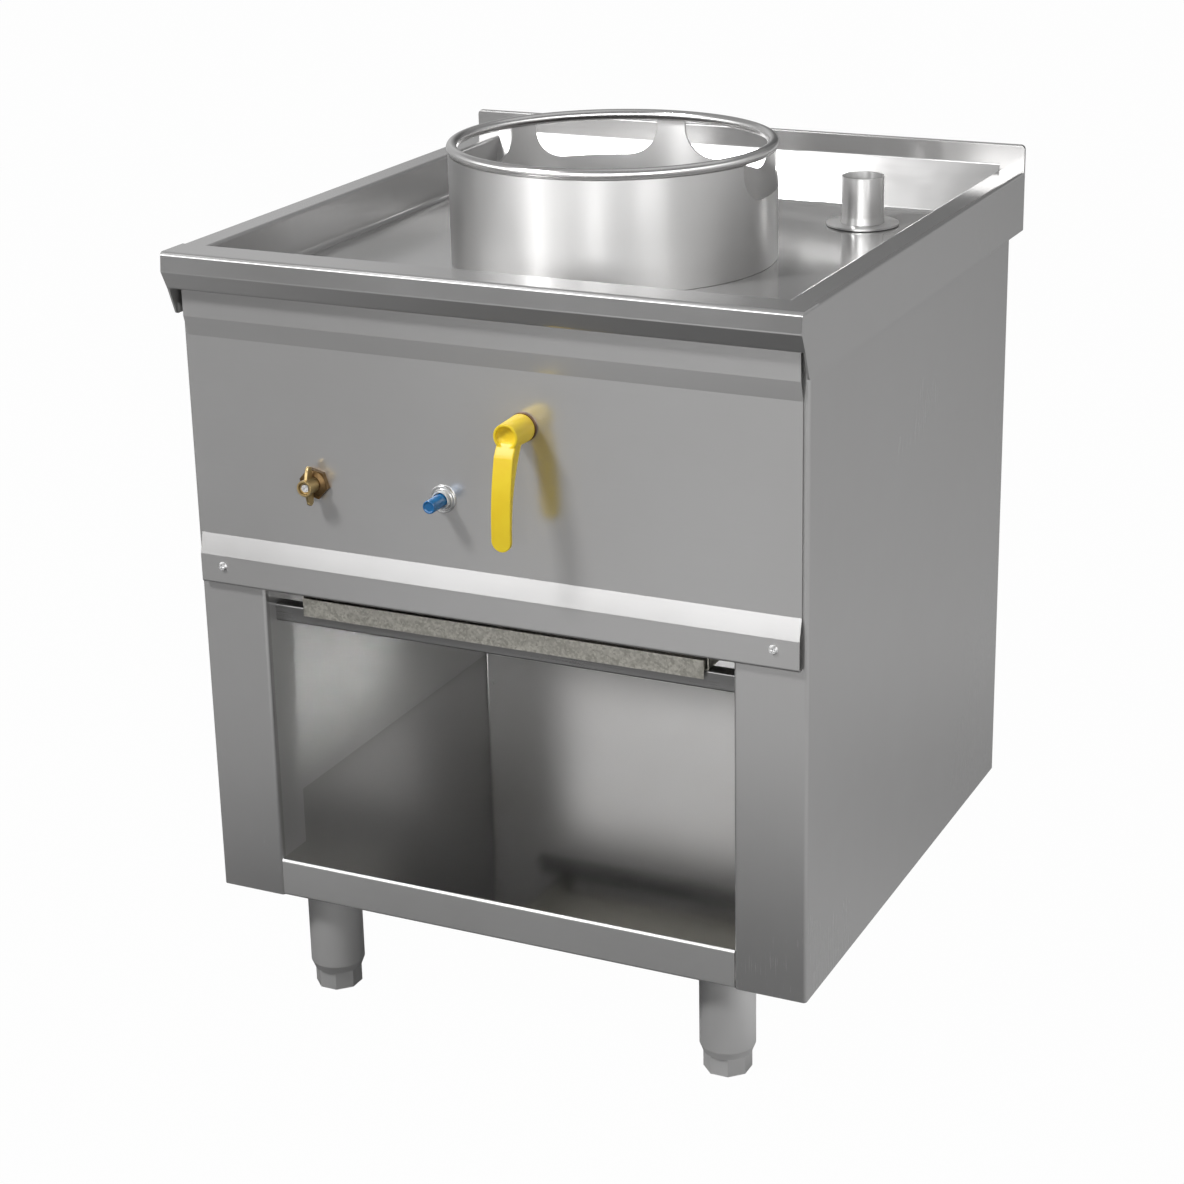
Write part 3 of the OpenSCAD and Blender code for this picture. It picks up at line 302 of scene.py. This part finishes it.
screw_steel = smooth_metal("screw_steel", grey(0.66), grey(0.88), 0.38)
burner_steel = dark_casting("burner_plate", (0.10, 0.09, 0.085, 1), (0.30, 0.27, 0.25, 1), 0.4)
iron = dark_casting("cast_iron", (0.025, 0.024, 0.023, 1), (0.09, 0.08, 0.075, 1), 0.55)
brass = smooth_metal("brass", (0.32, 0.235, 0.11, 1), (0.58, 0.45, 0.23, 1), 0.36)
# Painted shade: a darker copy of the brass for the bonnet, which sits back behind the wing
painted_shade_brass = smooth_metal("bonnet_brass", (0.06, 0.038, 0.018, 1), (0.26, 0.165, 0.075, 1), 0.34)
copper = smooth_metal("copper_tube", (0.45, 0.20, 0.11, 1), (0.72, 0.40, 0.26, 1), 0.24)
pipe_steel = smooth_metal("pipe_steel", grey(0.30), grey(0.46), 0.36)
bush_metal = smooth_metal("bush_metal", (0.09, 0.05, 0.03, 1), (0.24, 0.14, 0.09, 1), 0.35)
ring_metal = smooth_metal("bezel_metal", grey(0.48), grey(0.66), 0.28)
yellow = moulded_plastic("lever_yellow", (0.99, 0.74, 0.032, 1), (0.96, 0.68, 0.026, 1), 0.38)
blue = moulded_plastic("button_blue", (0.006, 0.18, 0.44, 1), (0.004, 0.14, 0.38, 1), 0.20, coat=0.3)
white = moulded_plastic("collar_white", (0.78, 0.79, 0.78, 1), (0.70, 0.71, 0.70, 1), 0.34)
pipe_grey = moulded_plastic("waste_pipe_grey", (0.34, 0.35, 0.36, 1), (0.28, 0.29, 0.30, 1), 0.42)
rubber = moulded_plastic("black_rubber", (0.022, 0.022, 0.022, 1), (0.012, 0.012, 0.012, 1), 0.6)
ceramic = moulded_plastic("ceramic", (0.78, 0.75, 0.68, 1), (0.70, 0.66, 0.58, 1), 0.2, coat=0.5)

FINISH_OF = {
    sheet_across: ["worktop"],
    panel_sheet: ["control_panel"],
    painted_shade_rail: ["front_cross_rail", "rear_cross_rail"],
    sheet_upright: ["left_side_panel", "right_side_panel"],
    sheet_shelf: ["bottom_shelf"],
    sheet_back: ["back_panel"],
    ring_steel: ["wok_ring_skirt"],
    bar_steel: ["wok_ring_bar"],
    pipe_bright: ["overflow_pipe", "drain_flange"],
    leg_steel: [kind + place for kind in ("leg_", "foot_")
        for place in ("front_left", "front_right", "back_left", "back_right")],
    zinc: ["drip_tray", "left_tray_runner", "right_tray_runner"],
    screw_steel: ["back_panel_screws", "panel_screws", "leg_nuts", "pilot_wing_screw", "igniter_spring",
        "igniter_nut"],
    burner_steel: ["burner_collar", "burner_chamber", "burner_bracket"],
    iron: ["burner_body", "burner_cap"],
    brass: ["gas_valve_body", "gas_valve_stem", "burner_injector", "gas_inlet", "pilot_tap_body",
        "pilot_tap_spindle", "pilot_wing", "pilot_burner", "drain_locknut"],
    painted_shade_brass: ["pilot_tap_bonnet"],
    copper: ["burner_supply_pipe", "pilot_feed_pipe", "pilot_pipe"],
    pipe_steel: ["main_gas_pipe"],
    bush_metal: ["lever_bush"],
    ring_metal: ["igniter_bezel"],
    yellow: ["gas_lever"],
    blue: ["igniter_button"],
    white: ["igniter_body"],
    pipe_grey: ["drain_tailpipe"],
    rubber: ["igniter_lead", "drain_gasket"],
    ceramic: ["igniter_electrode"],
}
for finish, names in FINISH_OF.items():
    for name in names:
        for slot in nodes[name].material_slots:
            slot.material = finish.material

# Modelling
ROUND_SIDES = 96
MERGE_REACH = 0.000001
CREASE_ANGLE = math.radians(40)


def fresh():
    bpy.ops.object.select_all(action="DESELECT")


def take(piece):
    """Selects one piece alone and makes it the active one."""
    fresh()
    piece.select_set(True)
    bpy.context.view_layer.objects.active = piece


def edit():
    bpy.ops.object.mode_set(mode="EDIT")
    bpy.ops.mesh.select_all(action="SELECT")


def done():
    """Merges doubles, turns the faces outwards and goes back to object mode."""
    bpy.ops.mesh.select_all(action="SELECT")
    bpy.ops.mesh.remove_doubles(threshold=MERGE_REACH)
    bpy.ops.mesh.normals_make_consistent(inside=False)
    bpy.ops.object.mode_set(mode="OBJECT")


def settle(piece, name, finish, body, slot, *stands_for):
    """Names a finished piece, dresses it and fixes it to its body."""
    piece.name = name
    piece.data.name = name
    piece.data.materials.clear()
    piece.data.materials.append(finish.material)
    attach(piece, body)
    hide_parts(*stands_for)


def turned(profile, middle, ring=False):
    """A turned form about an axis along Y: a loop is drawn on from each (radius, y) to the next.
    It is closed by a face at each end, or as a ring by joining its first and last loop."""
    x, z = middle
    start_r, start_y = profile[0]
    fresh()
    bpy.ops.mesh.primitive_circle_add(vertices=ROUND_SIDES, radius=start_r,
        fill_type="NOTHING" if ring else "NGON", location=(x, start_y, z), rotation=(math.pi / 2, 0, 0))
    bpy.ops.object.transform_apply(location=True, rotation=True, scale=True)
    edit()
    for (last_r, last_y), (r, y) in zip(profile, profile[1:]):
        bpy.ops.mesh.extrude_region_move(TRANSFORM_OT_translate={"value": (0, y - last_y, 0)})
        bpy.ops.transform.resize(value=(r / last_r, 1, r / last_r), center_override=(x, y, z))
    if ring:
        bpy.ops.mesh.select_mode(type="EDGE")
        bpy.ops.mesh.select_all(action="DESELECT")
        bpy.ops.mesh.select_non_manifold()
        bpy.ops.mesh.bridge_edge_loops()
    done()
    return bpy.context.object


def melt(piece, voxel, passes):
    """Runs overlapping forms together and softens their edges, as a casting has them."""
    take(piece)
    piece.data.remesh_voxel_size = voxel
    bpy.ops.object.voxel_remesh()
    soft = piece.modifiers.new("soft", "SMOOTH")
    soft.factor = 0.5
    soft.iterations = passes
    bpy.ops.object.modifier_apply(modifier=soft.name)
    bpy.ops.object.shade_smooth()


# Gas lever: a tapered hub with a dished front, and an arm that leans out from a saddle below the dish
HUB_TAPER = 0.001
HUB_EDGE = 0.0006
HUB_STRAIGHT = 0.004
RING_W = 0.0027
DISH_D = 0.0052
DISH_LIP = 0.0003
DISH_TURNS = (0.0, 0.35, 0.7, 1.05, 1.35)
BORE_R = 0.0042
BORE_D = 0.026
BORE_START = 0.2
ARM_W = 0.0215
ARM_OUT = 0.016
ARM_ROOT_T = 0.021
ARM_TIP_T = 0.004
ARM_CORNER = 0.0015
ARM_CORNER_STEPS = 5
LEAN_END = 0.92
LEAN_CURVE = 2.2
THIN_CURVE = 2.6
TIP_LEAST = 0.002
SADDLE_TOP = 0.0065
SADDLE_END = 0.0195
SADDLE_D = 0.0048
SADDLE_CURVE = 1.2
SADDLE_STEPS = 5
SHANK_STEPS = 14
TIP_STEPS = 12
LEVER_VOXEL = 0.00045
LEVER_PASSES = 4


def lever_hub(middle, hub_r, front, back):
    face_r = hub_r - HUB_TAPER
    dish_r = face_r - RING_W
    bore = [(BORE_R * BORE_START, back - BORE_D), (BORE_R, back - BORE_D), (BORE_R, back)]
    body = [(hub_r - HUB_EDGE, back), (hub_r, back - HUB_EDGE), (hub_r, back - HUB_STRAIGHT),
        (face_r, front + HUB_EDGE), (face_r - HUB_EDGE, front), (dish_r + DISH_LIP, front)]
    dish = [(dish_r * math.cos(a), front + DISH_D * math.sin(a)) for a in DISH_TURNS]
    return turned(bore + body + dish, middle)


def lever_arm(middle, length, front):
    """A section with round corners, drawn on downwards: it leans out, thins and ends in a half round."""
    shank = length - ARM_W / 2

    def section(h):
        t = h / length
        lean = ARM_OUT * (1 - (1 - min(1, t / LEAN_END)) ** LEAN_CURVE)
        dip = SADDLE_D * max(0, (SADDLE_END - h) / (SADDLE_END - SADDLE_TOP)) ** SADDLE_CURVE
        thick = ARM_TIP_T + (ARM_ROOT_T - ARM_TIP_T) * (1 - t) ** THIN_CURVE
        past = max(0, h - shank) / (ARM_W / 2)
        wide = ARM_W * math.sqrt(max(TIP_LEAST, 1 - past * past))
        return wide, thick - dip, front - lean + (thick + dip) / 2

    x, z = middle
    stops = [SADDLE_TOP + k * (SADDLE_END - SADDLE_TOP) / SADDLE_STEPS for k in range(SADDLE_STEPS + 1)]
    stops += [SADDLE_END + k * (shank - SADDLE_END) / SHANK_STEPS for k in range(1, SHANK_STEPS + 1)]
    stops += [shank + ARM_W / 2 * math.sin(k * math.pi / (2 * TIP_STEPS)) for k in range(1, TIP_STEPS + 1)]
    wide, thick, y = section(stops[0])
    fresh()
    bpy.ops.mesh.primitive_plane_add(size=1, location=(x, y, z - stops[0]))
    bpy.context.object.scale = (wide, thick, 1)
    bpy.ops.object.transform_apply(location=True, rotation=True, scale=True)
    edit()
    bpy.ops.mesh.bevel(offset=ARM_CORNER, segments=ARM_CORNER_STEPS, affect="VERTICES")
    bpy.ops.mesh.select_all(action="SELECT")
    for last, h in zip(stops, stops[1:]):
        was_wide, was_thick, was_y = section(last)
        wide, thick, y = section(h)
        bpy.ops.mesh.extrude_region_move(TRANSFORM_OT_translate={"value": (0, y - was_y, last - h)})
        bpy.ops.transform.resize(value=(wide / was_wide, thick / was_thick, 1), center_override=(x, y, z - h))
    done()
    return bpy.context.object


def gas_lever():
    low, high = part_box("gas_lever")
    hub_r = (high[0] - low[0]) / 2
    middle = ((high[0] + low[0]) / 2, high[2] - hub_r)
    front = low[1] + ARM_OUT
    hub = lever_hub(middle, hub_r, front, high[1])
    arm = lever_arm(middle, middle[1] - low[2], front)
    take(hub)
    arm.select_set(True)
    bpy.ops.object.join()
    melt(hub, LEVER_VOXEL, LEVER_PASSES)
    settle(hub, "gas_lever_moulded", yellow, "gas_lever", "yellow_plastic", "gas_lever")


gas_lever()

# Pilot wing: the casting's edges are run round
WING_VOXEL = 0.00025
WING_PASSES = 5


def copy_of(name):
    piece = bpy.data.objects.new(name, nodes[name].data.copy())
    bpy.context.scene.collection.objects.link(piece)
    take(piece)
    edit()
    done()
    return piece


wing = copy_of("pilot_wing")
melt(wing, WING_VOXEL, WING_PASSES)
settle(wing, "pilot_wing_cast", brass, "pilot_tap", "brass", "pilot_wing")

# Igniter: a button with a raised rim, in a bezel turned with two ridges. Each row is how far a loop
# lies in from the outer edge, or out from the bore, and how far behind the front
BUTTON_RIM = [(0.0, 0.0012), (0.0002, 0.0005), (0.0006, 0.0001), (0.0011, 0.0), (0.0016, 0.0002),
    (0.0021, 0.0007), (0.0030, 0.0009)]
BUTTON_MIDDLE_R = 0.0004
BUTTON_MIDDLE_D = 0.0007
BEZEL_OUTER = [(0.0, 0.0013), (0.0003, 0.0006), (0.0009, 0.0001), (0.0015, 0.0002), (0.0020, 0.0009),
    (0.0024, 0.0013)]
BEZEL_INNER = [(0.0018, 0.0013), (0.0014, 0.0007), (0.0008, 0.0002), (0.0003, 0.0003), (0.0, 0.0008)]
BEZEL_BORE_R = 0.0096


def igniter():
    low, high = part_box("igniter_button")
    r = (high[0] - low[0]) / 2
    middle = ((high[0] + low[0]) / 2, (high[2] + low[2]) / 2)
    rim = [(r - inset, low[1] + behind) for inset, behind in BUTTON_RIM]
    button = turned([(r, high[1])] + rim + [(BUTTON_MIDDLE_R, low[1] + BUTTON_MIDDLE_D)], middle)
    bpy.ops.object.shade_smooth_by_angle(angle=CREASE_ANGLE)
    settle(button, "igniter_button_moulded", blue, "igniter_button", "blue_plastic", "igniter_button")

    low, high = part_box("igniter_bezel")
    r = (high[0] - low[0]) / 2
    front, back = low[1], high[1]
    outer = [(r, back)] + [(r - inset, front + behind) for inset, behind in BEZEL_OUTER]
    inner = [(BEZEL_BORE_R + out, front + behind) for out, behind in BEZEL_INNER] + [(BEZEL_BORE_R, back)]
    bezel = turned(outer + inner, middle, ring=True)
    bpy.ops.object.shade_smooth_by_angle(angle=CREASE_ANGLE)
    settle(bezel, "igniter_bezel_turned", ring_metal, "cabinet", "grey_ring", "igniter_bezel")


igniter()

# Studio: a round room of pale paper, which glows for glossy rays with painted light and shadow. Each row
# is a turn about the cabinet, from the back through the left, the front and the right, and how bright
# the painted glow is there, or in SHADE_TONES how far a painted shadow darkens the ground close by
ROOM_R = 5.0
ROOM_H = 3.2
GROUND_TONES = [(0.0, 0.10), (0.08, 0.18), (0.30, 0.24), (0.405, 0.34), (0.46, 0.62), (0.58, 0.60),
    (0.70, 0.74), (0.80, 0.74), (0.94, 0.50), (0.98, 0.16)]
FOOT_TONES = [(0.0, 0.30), (0.10, 0.50), (0.25, 0.30), (0.36, 0.08), (0.62, 0.08), (0.75, 0.60), (0.92, 0.50)]
UPPER_TONES = [(0.0, 0.06), (0.05, 0.10), (0.10, 0.52), (0.17, 0.40), (0.25, 0.70), (0.36, 3.8),
    (0.47, 5.0), (0.60, 5.0), (0.72, 2.4), (0.85, 0.70), (0.95, 0.20)]
SHADE_TONES = [(0.24, 0.6), (0.38, 0.95), (0.58, 0.95), (0.68, 0.3)]
SHADE_REACH = (0.60, 1.25)
WALL_FOOT_Z = (0.02, 0.06)
WALL_UPPER_Z = (1.05, 1.28)
PAPER_ROUGH = 0.9
PAPER_SPOTS = 2.0
WHITE_SHARE = 0.985


def studio_paper():
    """Paper that the camera sees as white but for a trace of the object's shadow. Glossy rays see it glow
    with painted light and shade as a grey room for the steel to mirror: a painted shadow on the ground close
    to the front, painted bright light high up in front."""
    made = Finish("studio_paper", Roughness=PAPER_ROUGH)
    made.feed(Base_Color=made.mix(made.noise(PAPER_SPOTS), grey(0.20), grey(0.23)))
    across, along, height = (made.place(axis) for axis in "XYZ")
    turn = made.math("ARCTAN2", across, along * -1.0) * (0.5 / math.pi) + 0.5
    reach = made.math("SQRT", across * across + along * along)
    # Painted shadow: the glow on the ground is darkened close to the cabinet
    painted_shadow_factor = 1 - made.steps(turn, SHADE_TONES) * (1 - made.ease(reach, *SHADE_REACH))
    ground = made.mix(painted_shadow_factor, grey(0), made.steps(turn, GROUND_TONES))
    foot = made.steps(turn, FOOT_TONES)
    upper = made.steps(turn, UPPER_TONES)
    wall = made.mix(made.ease(height, *WALL_UPPER_Z), foot, upper)
    # Painted light and shade that glossy rays see in place of the paper's own shading
    painted_room_glow = made.mix(made.ease(height, *WALL_FOOT_Z), ground, wall)
    sight = made.node("ShaderNodeLightPath", out="Is Camera Ray")
    gloss = made.node("ShaderNodeLightPath", out="Is Glossy Ray")
    seen = made.tree.nodes.new("ShaderNodeEmission")
    made.join(seen.inputs[0], made.mix(sight, painted_room_glow, grey(1)))
    blend = made.tree.nodes.new("ShaderNodeMixShader")
    made.join(blend.inputs[0], made.math("MAXIMUM", sight * WHITE_SHARE, gloss))
    made.tree.links.new(made.shader.outputs[0], blend.inputs[1])
    made.tree.links.new(seen.outputs[0], blend.inputs[2])
    made.tree.links.new(blend.outputs[0], made.output.inputs[0])
    return made


paper = studio_paper()
fresh()
bpy.ops.mesh.primitive_circle_add(vertices=ROUND_SIDES, radius=ROOM_R, fill_type="NGON")
room = bpy.context.object
room.name = "studio_room"
edit()
bpy.ops.mesh.select_mode(type="EDGE")
bpy.ops.mesh.region_to_loop()
bpy.ops.mesh.extrude_region_move(TRANSFORM_OT_translate={"value": (0, 0, ROOM_H)})
bpy.ops.object.mode_set(mode="OBJECT")
room.data.materials.append(paper.material)

# Lamps: place, aim, width, height and watts of the soft lamps round the room
LAMPS = {
    "key_lamp": ((-1.66, -2.2, 3.3), (0, 0, 0.6), 0.6, 0.6, 104),
    "front_lamp": ((0.9, -4.0, 1.4), (0, 0, 0.7), 0.9, 0.9, 12),
    "top_lamp": ((0.4, 0.8, 3.1), (0, 0, 0.8), 2.0, 2.0, 4),
    "right_fill": ((3.2, -2.7, 0.9), (0, 0, 0.4), 1.4, 1.4, 14),
}
# Small lights for the compartment, with their spread in degrees: one in its opening that faces the back
# panel, and one from the right on its left wall
BEAMS = {
    "back_light": ((-0.05, -0.26, 0.30), (-0.05, 0.32, 0.29), 0.36, 0.22, 0.11, 12),
    "wall_beam": ((2.75, -2.2, 0.38), (-0.347, -0.05, 0.30), 0.20, 0.16, 0.10, 2.2),
}
SKY_STRENGTH = 0.24


def soft_lamp(name, place, aim, width, height, power):
    fresh()
    bpy.ops.object.light_add(type="AREA", location=place)
    lamp = bpy.context.object
    lamp.name = name
    lamp.data.shape = "RECTANGLE"
    lamp.data.size = width
    lamp.data.size_y = height
    lamp.data.energy = power
    lamp.rotation_euler = (Vector(aim) - Vector(place)).to_track_quat("-Z", "Y").to_euler()
    return lamp


for name, setting in LAMPS.items():
    soft_lamp(name, *setting)
for name, (*setting, spread) in BEAMS.items():
    beam = soft_lamp(name, *setting)
    beam.data.spread = math.radians(spread)

world = bpy.data.worlds.new("studio_light")
bpy.context.scene.world = world
world.use_nodes = True
sky = world.node_tree.nodes["Background"]
sky.inputs["Color"].default_value = (1, 1, 1, 1)
sky.inputs["Strength"].default_value = SKY_STRENGTH

# Camera at the photograph's angle
SEAT = Vector((1.1859, -2.5050, 1.4443))
AZIMUTH = math.radians(25.243)
ELEVATION = math.radians(19.275)
ROLL = math.radians(-1.041)
FOCAL_PX = 2619.9
MIDDLE_PX = (620.9, 541.2)
PHOTO_PX = 1184.0
SENSOR_MM = 36.0

level = Vector((math.cos(AZIMUTH), math.sin(AZIMUTH), 0))
ahead = Vector((-math.sin(AZIMUTH) * math.cos(ELEVATION), math.cos(AZIMUTH) * math.cos(ELEVATION),
    -math.sin(ELEVATION)))
upright = level.cross(ahead)
right = level * math.cos(ROLL) + upright * math.sin(ROLL)
above = right.cross(ahead)
fresh()
bpy.ops.object.camera_add(location=SEAT)
camera = bpy.context.object
camera.matrix_world = Matrix.Translation(SEAT) @ Matrix((right, above, -ahead)).transposed().to_4x4()
camera.data.sensor_width = SENSOR_MM
camera.data.lens = FOCAL_PX / PHOTO_PX * SENSOR_MM
camera.data.shift_x = (PHOTO_PX / 2 - MIDDLE_PX[0]) / PHOTO_PX
camera.data.shift_y = (MIDDLE_PX[1] - PHOTO_PX / 2) / PHOTO_PX
bpy.context.scene.camera = camera
bpy.context.scene.view_settings.view_transform = "Standard"
